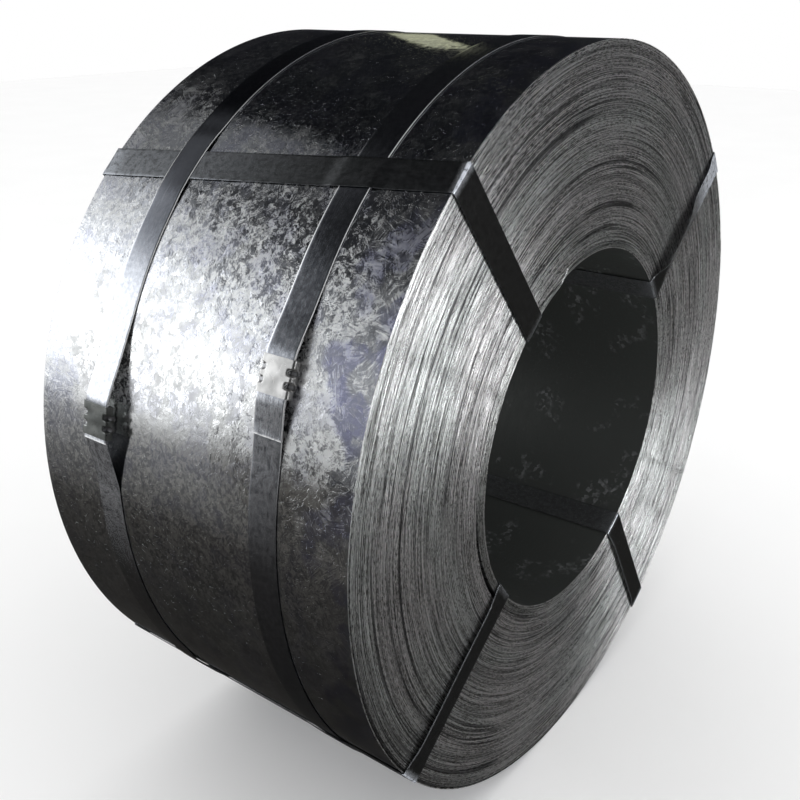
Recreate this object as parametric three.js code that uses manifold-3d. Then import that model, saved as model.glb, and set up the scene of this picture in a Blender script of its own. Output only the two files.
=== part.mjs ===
// Strapped coil of galvanised steel strip, lying with its eye horizontal.
// Millimetres, +Z up. The coil's axis is parallel to Y, and the whole part stands on the
// plane z = 0 with its bounding box centred over the origin.
import * as THREE from 'three';
import { mergeVertices } from 'three/addons/utils/BufferGeometryUtils.js';
import Module from 'manifold-3d';

// Coil
const outerDiameter = 818;
const boreDiameter = 406.4;
const stripWidth = 400;
const stripThickness = 1.2;
const sideCount = 96;
const wrapGroups = 8;
const endwiseDrift = 0.8;
const innerWraps = 8;
const innerWrapsGap = 1.6;
const innerWrapsGapDepth = 6;
const tailAngle = 20;
const tailSpan = 48;
const headAngle = 110;
const headSpan = 60;
const wedgeRoot = 2;

// Steel strapping
const strapWidth = 32;
const strapThickness = 0.8;
const seatGap = 0.3;
const strapBendRadius = 1.5;

// Bands round the outside of the coil
const frontBandY = -107;
const rearBandY = 98;
const frontSeal = { angle: 156.6, lift: 5.5, reachAbove: 11, reachBelow: 10.2 };
const rearSeal = { angle: 168.75, lift: 12, reachAbove: 15, reachBelow: 9.3 };
const sealFlatHalf = 21;
const lapTail = 53;
const lapRoot = 34;
const lapRootTaper = 20;

// Eye straps, through the bore and round the wall of the coil. Three were drawn tight a little
// crooked, so that they stand on one edge on the front end: by leanRim degrees near the rim
// and by leanBore degrees near the bore. A negative lean raises the edge of lesser angle.
const eyeStraps = [
  { name: 'upper_left', angle: 131.9, skew: 4.8, leanRim: 0, leanBore: 0 },
  { name: 'upper_right', angle: 37.5, skew: -1.5, leanRim: 7, leanBore: 22 },
  { name: 'lower_right', angle: -58.5, skew: -2.5, leanRim: -5, leanBore: -6 },
  { name: 'lower_left', angle: -142, skew: 1.5, leanRim: -6, leanBore: -5 },
];
const eyeSeatGap = 0.5;
const eyeFaceGap = 0.8;
const eyeFarFaceGap = 2.4;
const eyeBoreGap = 0.7;
const crossingRamp = 14;
const eyeRunSteps = 6;
const faceRunSteps = 14;
const untwistReach = 34;
const leanChangeFrom = 285;
const leanChangeTo = 345;
const crossingSlack = 0.3;
const crossingNearAngle = 6.5;
const crossingFarAngle = 12;

// Seals
const sealLength = 32;
const sealSheet = 1;
const sealSlot = 5;
const sealSkirt = 2.6;
const sealFlare = 1.8;
const sealNotchLength = 4;
const sealNotchTaper = 1;
const sealNotchDepth = 3.4;
const sealNotchSpacing = 11;

const outerRadius = outerDiameter / 2;
const boreRadius = boreDiameter / 2;
const halfWidth = stripWidth / 2;
const stepAngle = 360 / sideCount;
const bandOuterRadius = outerRadius + seatGap + strapThickness;

const galvanised = new THREE.MeshStandardMaterial({ color: 0x9da3a6, metalness: 1, roughness: 0.32 });
const bandSteel = new THREE.MeshStandardMaterial({ color: 0x5d6672, metalness: 1, roughness: 0.38 });
const eyeStrapSteel = new THREE.MeshStandardMaterial({ color: 0x23272c, metalness: 0.8, roughness: 0.45 });
const sealSteel = new THREE.MeshStandardMaterial({ color: 0xc3c7ca, metalness: 1, roughness: 0.25 });

const wasm = await Module();
wasm.setup();

// Solid helpers

function toManifold(geometry) {
  const bare = geometry.clone();
  bare.deleteAttribute('normal');
  bare.deleteAttribute('uv');
  const merged = mergeVertices(bare, 1e-4);
  return new wasm.Manifold(new wasm.Mesh({
    numProp: 3,
    vertProperties: merged.attributes.position.array,
    triVerts: new Uint32Array(merged.index.array),
  }));
}

function toGeometry(manifold) {
  const mesh = manifold.getMesh();
  const geometry = new THREE.BufferGeometry();
  geometry.setAttribute('position', new THREE.BufferAttribute(mesh.vertProperties, 3));
  geometry.setIndex(new THREE.BufferAttribute(mesh.triVerts, 1));
  geometry.computeVertexNormals();
  return geometry;
}

// A point of the cross-section at right angles to the axis. Angles are in degrees, from +X
// towards +Z. Sections are drawn in X and -Z, so that their depth runs along +Y.
function sectionPoint(radius, angle) {
  const turn = THREE.MathUtils.degToRad(angle);
  return new THREE.Vector2(radius * Math.cos(turn), -radius * Math.sin(turn));
}

// A closed ring of strip between two outlines that run the same way round.
function ringShape(outline, hole) {
  const shape = new THREE.Shape(outline);
  shape.holes.push(new THREE.Path(hole.reverse()));
  return shape;
}

function extrudeAlongAxis(shape, width, middleY) {
  const geometry = new THREE.ExtrudeGeometry(shape, { depth: width, bevelEnabled: false });
  geometry.translate(0, 0, -width / 2);
  geometry.rotateX(-Math.PI / 2);
  geometry.translate(0, middleY, 0);
  return geometry;
}

// Signed distance in degrees from one direction to another, within -180 and 180.
function angleBetween(from, to) {
  return THREE.MathUtils.euclideanModulo(to - from + 180, 360) - 180;
}

// Coil

// Groups of wraps drift endwise by fractions of a millimetre, so a group that stands out at
// one end is set back at the other by as much.
function groupDrift(group) {
  return endwiseDrift * Math.sin(2.4 * group);
}

function endProfile(side) {
  const points = [];
  const face = side * halfWidth;
  const wrapsStart = boreRadius + innerWraps + innerWrapsGap;
  const groupWidth = (outerRadius - wrapsStart) / wrapGroups;
  points.push([boreRadius, face], [boreRadius + innerWraps, face]);
  points.push([boreRadius + innerWraps, face - side * innerWrapsGapDepth]);
  points.push([wrapsStart, face - side * innerWrapsGapDepth]);
  for (let group = 0; group < wrapGroups; group += 1) {
    const y = face + groupDrift(group);
    points.push([wrapsStart + group * groupWidth, y], [wrapsStart + (group + 1) * groupWidth, y]);
  }
  return points.map(([radius, y]) => new THREE.Vector2(radius, y));
}

function turnedWraps() {
  const profile = [...endProfile(-1), ...endProfile(1).reverse()];
  profile.push(profile[0].clone());
  return new THREE.LatheGeometry(profile, sideCount, Math.PI / sideCount);
}

// The free end of the outermost wrap: a wedge that rises by one strip thickness to its edge.
function tailRise(angle) {
  const before = angleBetween(angle, tailAngle);
  return before < 0 || before > tailSpan ? 0 : stripThickness * (1 - before / tailSpan);
}

function tailWedge() {
  const outline = [];
  for (let k = 0; k <= tailSpan / stepAngle; k += 1) {
    const angle = tailAngle - tailSpan + k * stepAngle;
    outline.push(sectionPoint(outerRadius + tailRise(angle), angle));
  }
  for (let k = tailSpan / stepAngle; k >= 0; k -= 1) {
    outline.push(sectionPoint(outerRadius - wedgeRoot, tailAngle - tailSpan + k * stepAngle));
  }
  return extrudeAlongAxis(new THREE.Shape(outline), stripWidth, groupDrift(wrapGroups - 1));
}

// The head of the innermost wrap, which stands into the bore by one strip thickness.
function headWedge() {
  const outline = [];
  for (let k = 0; k <= headSpan / stepAngle; k += 1) {
    const rise = stripThickness * (1 - (k * stepAngle) / headSpan);
    outline.push(sectionPoint(boreRadius - rise, headAngle + k * stepAngle));
  }
  for (let k = headSpan / stepAngle; k >= 0; k -= 1) {
    outline.push(sectionPoint(boreRadius + wedgeRoot, headAngle + k * stepAngle));
  }
  return extrudeAlongAxis(new THREE.Shape(outline), stripWidth, 0);
}

function coilGeometry() {
  const solid = toManifold(turnedWraps()).add(toManifold(tailWedge())).add(toManifold(headWedge()));
  return toGeometry(solid);
}

// Bands

function smoothStep(low, high, value) {
  return THREE.MathUtils.smoothstep(value, low, high);
}

// How far a band is held off the coil by the eye straps that pass under it.
function crossingLift(angle, bandY) {
  const full = eyeSeatGap + strapThickness + seatGap + crossingSlack;
  return eyeStraps.reduce((lift, strap) => {
    const crossing = strap.angle + (strap.skew * bandY) / stripWidth;
    const away = Math.abs(angleBetween(crossing, angle));
    return Math.max(lift, full * (1 - smoothStep(crossingNearAngle, crossingFarAngle, away)));
  }, 0);
}

// Tangential and radial place beside the seal, turned to the seal's angle.
function besideSeal(along, radius, sealAngle) {
  const reach = Math.hypot(along, radius);
  return sectionPoint(reach, sealAngle + THREE.MathUtils.radToDeg(Math.atan2(along, radius)));
}

// Closed outline of a band at a height over its inner face. It runs round the coil from one
// side of the seal to the other, then straight off the coil and across the flat that the
// seal grips. The lap adds a second thickness from the seal to the strap's free tail.
function bandOutline(band, height, lapped) {
  const points = [];
  const { angle, lift, reachAbove, reachBelow } = band.seal;
  const lap = lapped ? strapThickness : 0;
  const firstAngle = -90 + stepAngle / 2;
  const flatRadius = outerRadius + seatGap + lift + height;
  const start = Math.ceil((angle + reachBelow - firstAngle) / stepAngle);
  const end = Math.floor((angle + 360 - reachAbove - firstAngle) / stepAngle);
  const below = flatSlope(lift, firstAngle + start * stepAngle - angle);
  const above = flatSlope(lift, angle + 360 - firstAngle - end * stepAngle);
  points.push(besideSeal(lapTail, flatRadius - below * (lapTail - sealFlatHalf) + lap, angle));
  if (lapped) {
    points.push(besideSeal(lapTail, flatRadius - below * (lapTail - sealFlatHalf), angle));
  }
  for (let k = start; k <= end; k += 1) {
    const place = firstAngle + k * stepAngle;
    const hold = (band.overStraps ? crossingLift(place, band.y) : 0) + tailHold(place);
    points.push(sectionPoint(outerRadius + seatGap + hold + height, place));
  }
  const taperEnd = lapRoot + lapRootTaper;
  points.push(besideSeal(-taperEnd, flatRadius - above * (taperEnd - sealFlatHalf), angle));
  points.push(besideSeal(-lapRoot, flatRadius - above * (lapRoot - sealFlatHalf) + lap, angle));
  points.push(besideSeal(-sealFlatHalf, flatRadius + lap, angle));
  points.push(besideSeal(sealFlatHalf, flatRadius + lap, angle));
  return points;
}

// Fall of the straight stretch from the seal's flat down to where the band meets the coil, at
// an angle away from the seal.
function flatSlope(lift, touchAngle) {
  const turn = THREE.MathUtils.degToRad(touchAngle);
  const radius = outerRadius + seatGap;
  return (radius + lift - radius * Math.cos(turn)) / (radius * Math.sin(turn) - sealFlatHalf);
}

// A band bridges the step at the coil's tail, so it comes down over the next side.
function tailHold(angle) {
  return Math.max(tailRise(angle), tailRise(angle - stepAngle), tailRise(angle + stepAngle));
}

function bandGeometry(band) {
  const ring = ringShape(bandOutline(band, strapThickness, true), bandOutline(band, 0, false));
  return extrudeAlongAxis(ring, strapWidth, band.y);
}

// Eye straps

// Closed outline of an eye strap at a height over its inner face, in radius and axial place.
// It goes out along the outside of the coil, over the rear rim, down the rear end, back
// through the bore and up the front end, with a rise where it passes over the front band.
function eyeOutline(height) {
  const points = [];
  const top = outerRadius + eyeSeatGap;
  const front = -(halfWidth + endwiseDrift + eyeFaceGap);
  const rear = halfWidth + endwiseDrift + eyeFarFaceGap;
  const inside = boreRadius - stripThickness - eyeBoreGap;
  const overBand = bandOuterRadius + seatGap;
  addBend(points, top, front, 1, -1, height);
  points.push([top + height, frontBandY - strapWidth / 2 - crossingRamp]);
  points.push([overBand + height, frontBandY - strapWidth / 2 - 2]);
  points.push([overBand + height, frontBandY + strapWidth / 2 + 2]);
  points.push([top + height, frontBandY + strapWidth / 2 + crossingRamp]);
  for (let k = 1; k < eyeRunSteps; k += 1) {
    const start = frontBandY + strapWidth / 2 + crossingRamp;
    points.push([top + height, start + ((rear - start) * k) / eyeRunSteps]);
  }
  addBend(points, top, rear, 1, 1, height);
  addBend(points, inside, rear, -1, 1, height);
  for (let k = 1; k < eyeRunSteps; k += 1) {
    points.push([inside - height, rear + ((front - rear) * k) / eyeRunSteps]);
  }
  addBend(points, inside, front, -1, -1, height);
  const faceStart = inside + strapBendRadius;
  const faceEnd = top - strapBendRadius;
  for (let k = 1; k < faceRunSteps; k += 1) {
    points.push([faceStart + ((faceEnd - faceStart) * k) / faceRunSteps, front - height]);
  }
  return points.map(([radius, y]) => new THREE.Vector2(radius, y));
}

// A quarter bend of the strap over a rim. The signs say which way is out of the loop.
function addBend(points, radius, y, radialSign, axialSign, height) {
  const centreRadius = radius - radialSign * strapBendRadius;
  const centreY = y - axialSign * strapBendRadius;
  const reach = strapBendRadius + height;
  const steps = 4;
  const corner = [];
  for (let k = 0; k <= steps; k += 1) {
    const turn = (Math.PI / 2) * (k / steps);
    corner.push([
      centreRadius + radialSign * reach * Math.cos(turn),
      centreY + axialSign * reach * Math.sin(turn),
    ]);
  }
  if (radialSign * axialSign < 0) corner.reverse();
  points.push(...corner);
}

// Lean of a strap on the front end, in radians. It comes up off the rim and the bore's edge.
function leanAt(strap, radius) {
  const share = smoothStep(leanChangeFrom, leanChangeTo, radius);
  const lean = THREE.MathUtils.lerp(strap.leanBore, strap.leanRim, share);
  const fromBore = smoothStep(boreRadius, boreRadius + untwistReach, radius);
  const fromRim = 1 - smoothStep(outerRadius - untwistReach, outerRadius, radius);
  return THREE.MathUtils.degToRad(lean * fromBore * fromRim);
}

// Stands the run on the front end on one edge. X is the radius, Y the axial place and Z the
// place across the strap; the other edge stays where it was.
function leanFaceRun(geometry, strap) {
  const front = -(halfWidth + endwiseDrift + eyeFaceGap);
  const position = geometry.attributes.position;
  for (let k = 0; k < position.count; k += 1) {
    const depth = position.getY(k) - front;
    if (depth > 0) continue;
    const lean = leanAt(strap, position.getX(k));
    const across = position.getZ(k);
    const raised = across * Math.sin(lean) + (strapWidth / 2) * Math.abs(Math.sin(lean));
    position.setY(k, front + depth * Math.cos(lean) - raised);
    position.setZ(k, across * Math.cos(lean) + depth * Math.sin(lean));
  }
}

// Turns each point round the coil's axis in proportion to its place along the axis.
function twistAlongAxis(geometry, skew) {
  const position = geometry.attributes.position;
  for (let k = 0; k < position.count; k += 1) {
    const x = position.getX(k);
    const z = position.getZ(k);
    const turn = THREE.MathUtils.degToRad((skew * position.getY(k)) / stripWidth);
    position.setX(k, x * Math.cos(turn) - z * Math.sin(turn));
    position.setZ(k, x * Math.sin(turn) + z * Math.cos(turn));
  }
  return geometry;
}

function radialFrame(angle) {
  const turn = THREE.MathUtils.degToRad(angle);
  const radial = new THREE.Vector3(Math.cos(turn), 0, Math.sin(turn));
  const tangential = new THREE.Vector3(-Math.sin(turn), 0, Math.cos(turn));
  return { radial, tangential, axial: new THREE.Vector3(0, 1, 0) };
}

function eyeStrapGeometry(strap) {
  const loop = ringShape(eyeOutline(strapThickness), eyeOutline(0));
  const geometry = new THREE.ExtrudeGeometry(loop, { depth: strapWidth, bevelEnabled: false });
  geometry.translate(0, 0, -strapWidth / 2);
  leanFaceRun(geometry, strap);
  const { radial, tangential, axial } = radialFrame(strap.angle);
  geometry.applyMatrix4(new THREE.Matrix4().makeBasis(radial, axial, tangential));
  return twistAlongAxis(geometry, strap.skew);
}

// Seals

// Folded sleeve round the strap: X across the strap, Y off its inner face, Z along it. Two
// notches are crimped into each side. A loose sleeve's sides hang lower and spread outwards.
function sealGeometry(layers, loose) {
  const skirt = loose ? sealSkirt : 0;
  const roof = layers * strapThickness + seatGap;
  const floor = -seatGap - skirt;
  const halfRoof = strapWidth / 2 + seatGap;
  const halfFloor = halfRoof + (loose ? sealFlare : 0);
  const outer = sleeveSide(halfRoof, halfFloor, roof, floor, sealSheet);
  const inner = sleeveSide(halfRoof, halfFloor, roof, floor, 0).reverse();
  const mirror = (points) => points.map(([x, y]) => [-x, y]).reverse();
  const outline = [...outer, ...mirror(outer), ...mirror(inner), ...inner];
  const sleeve = new THREE.Shape(outline.map(([x, y]) => new THREE.Vector2(x, y)));
  const body = new THREE.ExtrudeGeometry(sleeve, { depth: sealLength, bevelEnabled: false });
  body.translate(0, 0, -sealLength / 2);
  let seal = toManifold(body);
  for (const side of [-1, 1]) {
    for (const along of [-sealNotchSpacing / 2, sealNotchSpacing / 2]) {
      seal = seal.subtract(toManifold(notchGeometry(side, along, halfFloor + sealSheet)));
    }
  }
  return toGeometry(seal);
}

// One side of the sleeve's section, grown outwards: from the slot along the underside, round
// the folded edge and up to the roof.
function sleeveSide(halfRoof, halfFloor, roof, floor, grow) {
  const fold = grow / 3;
  return [
    [sealSlot / 2, floor - grow],
    [halfFloor + grow - 2 * fold, floor - grow],
    [halfFloor + grow, floor - grow + 2 * fold],
    [halfRoof + grow, roof + grow - 2 * fold],
    [halfRoof + grow - 2 * fold, roof + grow],
  ].filter(([x, y], k, all) => k === 0 || x !== all[k - 1][0] || y !== all[k - 1][1]);
}

// Trapezoidal notch through one side of the sleeve.
function notchGeometry(side, along, halfOuter) {
  const mouth = sealNotchLength / 2 + sealNotchTaper;
  const root = sealNotchLength / 2 - sealNotchTaper;
  const outline = [
    new THREE.Vector2(halfOuter + 1, along - mouth),
    new THREE.Vector2(halfOuter + 1, along + mouth),
    new THREE.Vector2(halfOuter - sealNotchDepth, along + root),
    new THREE.Vector2(halfOuter - sealNotchDepth, along - root),
  ];
  const notch = new THREE.ExtrudeGeometry(new THREE.Shape(outline), { depth: 20, bevelEnabled: false });
  notch.translate(0, 0, -10);
  notch.rotateX(Math.PI / 2);
  if (side < 0) notch.rotateY(Math.PI);
  return notch;
}

function placeSeal(name, geometry, centre, across, off, along) {
  const seal = new THREE.Mesh(geometry, sealSteel);
  seal.name = name;
  seal.matrix.makeBasis(across, off, along).setPosition(centre);
  seal.matrix.decompose(seal.position, seal.quaternion, seal.scale);
  return seal;
}

function bandSeal(band) {
  const { radial, tangential, axial } = radialFrame(band.seal.angle);
  const centre = radial.clone().multiplyScalar(outerRadius + seatGap + band.seal.lift);
  centre.y = band.y;
  const sleeve = sealGeometry(2, true);
  return placeSeal(`${band.name}_seal`, sleeve, centre, axial.negate(), radial, tangential);
}

// Eye straps are sealed half way down the rear end of the coil.
function eyeSeal(strap) {
  const rear = halfWidth + endwiseDrift + eyeFarFaceGap;
  const { radial, tangential, axial } = radialFrame(strap.angle + (strap.skew * rear) / stripWidth);
  const centre = radial.clone().multiplyScalar((outerRadius + boreRadius) / 2);
  centre.y = rear;
  const sleeve = sealGeometry(1, false);
  return placeSeal(`eye_strap_seal_${strap.name}`, sleeve, centre, tangential, axial, radial.negate());
}

// Assembly

const bands = [
  { name: 'front_band', y: frontBandY, seal: frontSeal, overStraps: false },
  { name: 'rear_band', y: rearBandY, seal: rearSeal, overStraps: true },
];

function namedMesh(name, geometry, material) {
  const mesh = new THREE.Mesh(geometry, material);
  mesh.name = name;
  return mesh;
}

function buildStrappedCoil() {
  const group = new THREE.Group();
  group.add(namedMesh('coil', coilGeometry(), galvanised));
  for (const band of bands) {
    group.add(namedMesh(band.name, bandGeometry(band), bandSteel));
    group.add(bandSeal(band));
  }
  for (const strap of eyeStraps) {
    group.add(namedMesh(`eye_strap_${strap.name}`, eyeStrapGeometry(strap), eyeStrapSteel));
    group.add(eyeSeal(strap));
  }
  group.updateMatrixWorld(true);
  const box = new THREE.Box3().setFromObject(group, true);
  const centre = box.getCenter(new THREE.Vector3());
  group.position.set(-centre.x, -centre.y, -box.min.z);
  return group;
}

export default buildStrappedCoil();
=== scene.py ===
import math

import bpy
import numpy as np
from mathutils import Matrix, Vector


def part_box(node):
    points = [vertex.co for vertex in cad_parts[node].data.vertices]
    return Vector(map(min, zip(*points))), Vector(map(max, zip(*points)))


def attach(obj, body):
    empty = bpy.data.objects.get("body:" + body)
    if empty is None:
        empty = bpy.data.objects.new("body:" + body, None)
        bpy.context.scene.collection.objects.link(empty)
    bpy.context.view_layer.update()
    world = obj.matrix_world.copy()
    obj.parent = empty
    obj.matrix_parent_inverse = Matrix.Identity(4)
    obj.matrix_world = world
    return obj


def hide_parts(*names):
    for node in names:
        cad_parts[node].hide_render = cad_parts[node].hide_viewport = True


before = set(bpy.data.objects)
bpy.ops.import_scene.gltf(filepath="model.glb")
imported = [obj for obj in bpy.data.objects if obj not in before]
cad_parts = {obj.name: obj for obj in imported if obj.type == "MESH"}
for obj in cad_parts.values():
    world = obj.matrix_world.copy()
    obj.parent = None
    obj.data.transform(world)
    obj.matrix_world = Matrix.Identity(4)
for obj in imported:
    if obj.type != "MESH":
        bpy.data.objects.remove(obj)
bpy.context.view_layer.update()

# lengths in metres; angles in degrees round the coil's axis, which is parallel to Y, from +X towards +Z
coil = {
    "radius": 0.40878, "boreRadius": 0.2032, "stripWidth": 0.4, "stripThickness": 0.0012,
    "tailAngle": 20.0, "tailSpan": 48.0, "headAngle": 109.0, "headStep": 0.0036, "headBend": 3.5,
    "headHold": 6.0, "headSpan": 66.0, "sides": 416, "frontRings": 112, "rearRings": 60,
}
frontBandY = -0.107
coilLow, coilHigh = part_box("coil")
bandLow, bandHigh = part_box("front_band")
axisHeight = (coilLow[2] + coilHigh[2]) / 2
axisX = coilLow[0] + (coilHigh[2] - coilLow[2]) / 2
middleY = (bandLow[1] + bandHigh[1]) / 2 - frontBandY
print("coil middle at", round(axisX, 5), round(middleY, 5), round(axisHeight, 5))


# Small number helpers

def smoothStep(low, high, value):
    # 3t^2 - 2t^3, with t the value's place between low and high
    t = np.clip((value - low) / (high - low), 0.0, 1.0)
    return t * t * (3.0 - 2.0 * t)


def bell(value, centre, halfWidth):
    return np.exp(-(((value - centre) / halfWidth) ** 2))


def angleFrom(origin, angle):
    return (angle - origin + 180.0) % 360.0 - 180.0


def waves(coordinates, seed, count=7):
    # a smooth random field: the sum of plane waves with random headings and phases
    source = np.random.default_rng(seed)
    field = np.zeros(np.broadcast_shapes(*(np.shape(c) for c in coordinates)))
    for _ in range(count):
        headings = source.normal(size=len(coordinates))
        phase = source.uniform(0, 2 * np.pi)
        field = field + np.sin(sum(h * c for h, c in zip(headings, coordinates)) + phase)
    return field / math.sqrt(count / 2)


def ringPlace(angle, reach):
    turn = np.radians(angle)
    return [np.cos(turn) * reach, np.sin(turn) * reach]


def onAxis(y):
    return np.array([axisX, middleY + y, axisHeight])


def polar(radius, angle, y):
    # x = axis x + r cos a, z = axis height + r sin a, with y from the middle of the strip's width
    x, z = ringPlace(angle, radius)
    return np.stack(np.broadcast_arrays(axisX + x, middleY + y, axisHeight + z), -1)


# Mesh helpers

def volume(points, quads):
    # the sum of a . (b x c) / 6 over both triangles of each face; negative if the faces point inwards
    points = points - points.mean(0)
    a, b, c, d = (points[quads[:, k]] for k in range(4))
    return ((a * np.cross(b, c)).sum() + (a * np.cross(c, d)).sum()) / 6


def addObject(name, data):
    added = bpy.data.objects.new(name, data)
    bpy.context.scene.collection.objects.link(added)
    return added


def fill(items, name, values, kind=np.float32):
    items.foreach_set(name, values.reshape(-1).astype(kind))


def gridMesh(name, points, uvs, closedU=False, caps=False, sharpAngle=35.0, marks=None, zones=None):
    # four-sided faces over a grid of points, joined round along v and, if closed, along u
    countU, countV = points.shape[:2]
    cellsU = countU if closedU else countU - 1
    u, v = (axis.ravel() for axis in np.meshgrid(np.arange(cellsU), np.arange(countV), indexing="ij"))
    nextU, nextV = (u + 1) % countU, (v + 1) % countV
    corners = ((u, v), (u, nextV), (nextU, nextV), (nextU, v))
    loops = np.stack([row * countV + column for row, column in corners], -1)
    uvLoops = np.stack([uvs[u, v], uvs[u, v + 1], uvs[u + 1, v + 1], uvs[u + 1, v]], 1)
    first, last = np.arange(countV)[::-1], np.arange(countV) + (countU - 1) * countV
    if volume(points.reshape(-1, 3), loops) < 0:
        loops, uvLoops, first, last = loops[:, ::-1], uvLoops[:, ::-1], first[::-1], last[::-1]
    starts = np.arange(0, loops.size, 4)
    loops, uvLoops = loops.ravel(), uvLoops.reshape(-1, 2)
    if caps:
        starts = np.concatenate([starts, [len(loops), len(loops) + countV]])
        uvLoops = np.concatenate([uvLoops, uvs[0, first], uvs[countU - 1, last - (countU - 1) * countV]])
        loops = np.concatenate([loops, first, last])
    mesh = bpy.data.meshes.new(name)
    mesh.vertices.add(countU * countV)
    fill(mesh.vertices, "co", points)
    mesh.loops.add(len(loops))
    fill(mesh.loops, "vertex_index", loops, np.int32)
    mesh.polygons.add(len(starts))
    fill(mesh.polygons, "loop_start", starts, np.int32)
    fill(mesh.polygons, "use_smooth", np.ones(len(starts)), bool)
    if zones is not None:
        fill(mesh.polygons, "material_index", zones[v], np.int32)
    fill(mesh.uv_layers.new(name="strip").uv, "vector", uvLoops)
    if marks is not None:
        attribute = mesh.attributes.new("wearShadeSheen", "FLOAT", "POINT")
        fill(attribute.data, "value", np.broadcast_to(marks, (countU, countV)))
    mesh.update(calc_edges=True)
    mesh.set_sharp_from_angle(angle=math.radians(sharpAngle))
    return addObject(name, mesh)


def unit(vectors):
    return vectors / np.linalg.norm(vectors, axis=-1, keepdims=True)


def mapped(along, across):
    return np.stack(np.broadcast_arrays(along, across), -1)


def reachAlong(path):
    # the distance along a path up to each of its points
    return np.concatenate([[0.0], np.cumsum(np.linalg.norm(np.diff(path, axis=0), axis=-1))])


def sweep(name, path, across, marks, closed=False, widths=1.0):
    # point = path + (outline x times width) across + (outline y) off, with off = heading x across
    before = np.roll(path, 1, 0) if closed else np.concatenate([path[:1], path[:-1]])
    after = np.roll(path, -1, 0) if closed else np.concatenate([path[1:], path[-1:]])
    heading = unit(after - before)
    across = unit(across - (across * heading).sum(-1, keepdims=True) * heading)
    off = np.cross(heading, across)
    aside = stripOutline[None, :, :1] * widths
    points = path[:, None] + across[:, None] * aside + off[:, None] * stripOutline[None, :, 1:]
    along = reachAlong(np.append(path, path[:1], 0))
    fractions = np.append(stripOutline[:, 0], stripOutline[0, 0]) / strap["width"] + 0.5
    return gridMesh(name, points, mapped(along[:, None], fractions), closed, not closed, marks=marks)


def finishPiece(piece, materials, slot, *nodes):
    for material in materials:
        piece.data.materials.append(material)
    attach(piece, "root")
    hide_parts(*nodes)


# Shader helpers

class Wire:
    # an output socket on which +, -, * and ** add Math nodes
    def __init__(self, shader, socket):
        self.shader = shader
        self.socket = socket

    def maths(self, operation, *values):
        return self.shader.node("Math", {"operation": operation}, dict(enumerate(values)))

    def __add__(self, other): return self.maths("ADD", self, other)
    def __sub__(self, other): return self.maths("SUBTRACT", self, other)
    def __rsub__(self, other): return self.maths("SUBTRACT", other, self)
    def __mul__(self, other): return self.maths("MULTIPLY", self, other)
    def __pow__(self, other): return self.maths("POWER", self, other)
    def sin(self): return self.maths("SINE", self)
    def size(self): return self.maths("ABSOLUTE", self)
    def largest(self, other): return self.maths("MAXIMUM", self, other)
    def out(self, name): return Wire(self.shader, self.socket.node.outputs[name])

    def ramp(self, low, high, start=0.0, end=1.0):
        # a smooth change from start to end as the value goes from low to high
        inputs = {"Value": self, "From Min": low, "From Max": high, "To Min": start, "To Max": end}
        return self.shader.node("MapRange", {"interpolation_type": "SMOOTHSTEP"}, inputs)

    def between(self, rise, fall):
        # a smooth rise over the first span, and a smooth fall over the second
        return self.ramp(*rise) * self.ramp(*fall, 1.0, 0.0)


class Shader:
    def __init__(self, tree):
        self.tree = tree
        tree.nodes.clear()

    def node(self, kind, settings=None, inputs=None, output=0):
        made = self.tree.nodes.new("ShaderNode" + kind)
        for name, value in (settings or {}).items():
            setattr(made, name, value)
        for name, value in (inputs or {}).items():
            if isinstance(value, Wire):
                self.tree.links.new(value.socket, made.inputs[name])
            else:
                made.inputs[name].default_value = value
        return Wire(self, made.outputs[output]) if len(made.outputs) else None

    def profile(self, value, stops):
        # a level for each value from -1 to 1, changing evenly from stop to stop
        wire = self.node("ValToRGB", None, {"Fac": value * 0.5 + 0.5})
        ramp = wire.socket.node.color_ramp
        ramp.interpolation = "LINEAR"
        while len(ramp.elements) < len(stops):
            ramp.elements.new(0.5)
        for element, (place, level) in zip(ramp.elements, stops):
            element.position = place * 0.5 + 0.5
            element.color = (level, level, level, 1.0)
        return wire

    def place(self):
        return self.node("TexCoord", None, None, "Object")

    def strip(self):
        # metres along the steel and across it; on the coil's ends the second is the distance from the axis
        return self.node("UVMap", {"uv_map": "strip"})

    def normal(self):
        return self.node("NewGeometry", None, None, "Normal")

    # the mesh's mark: wear on the bands, wear with painted sheen and highlight on the eye straps, painted
    # shade in the seals' crimps
    def wearShadeSheen(self):
        return self.node("Attribute", {"attribute_name": "wearShadeSheen"}, None, "Fac")

    def vector(self, operation, first, second=(0, 0, 0), output=0):
        settings = {"operation": operation}
        if operation == "SCALE":
            return self.node("VectorMath", settings, {0: first, "Scale": second})
        return self.node("VectorMath", settings, {0: first, 1: second}, output)

    def dot(self, first, second):
        return self.vector("DOT_PRODUCT", first, second, "Value")

    def xyz(self, x, y, z=0.0):
        return self.node("CombineXYZ", None, {"X": x, "Y": y, "Z": z})

    def split(self, vector):
        first = self.node("SeparateXYZ", None, {"Vector": vector}, "X")
        return first, first.out("Y"), first.out("Z")

    def mix(self, factor, first, second, blend="MIX"):
        sides = [side if isinstance(side, Wire) else (*side, 1.0) for side in (first, second)]
        settings = {"data_type": "RGBA", "blend_type": blend}
        return self.node("Mix", settings, {0: factor, 6: sides[0], 7: sides[1]}, 2)

    def noise(self, place, scale, detail=2.0, roughness=0.5, output=0):
        inputs = {"Vector": place, "Scale": scale, "Detail": detail, "Roughness": roughness}
        return self.node("TexNoise", None, inputs, output)

    def bump(self, height, distance=0.001, normal=None):
        inputs = {"Height": height, "Distance": distance}
        if normal is not None:
            inputs["Normal"] = normal
        return self.node("Bump", None, inputs)

    def finish(self, colour, metallic, roughness, normal=None):
        sockets = {"Base Color": colour, "Metallic": metallic, "Roughness": roughness}
        if normal is not None:
            sockets["Normal"] = normal
        surface = self.node("BsdfPrincipled", None, sockets)
        self.node("OutputMaterial", None, {"Surface": surface})


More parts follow.
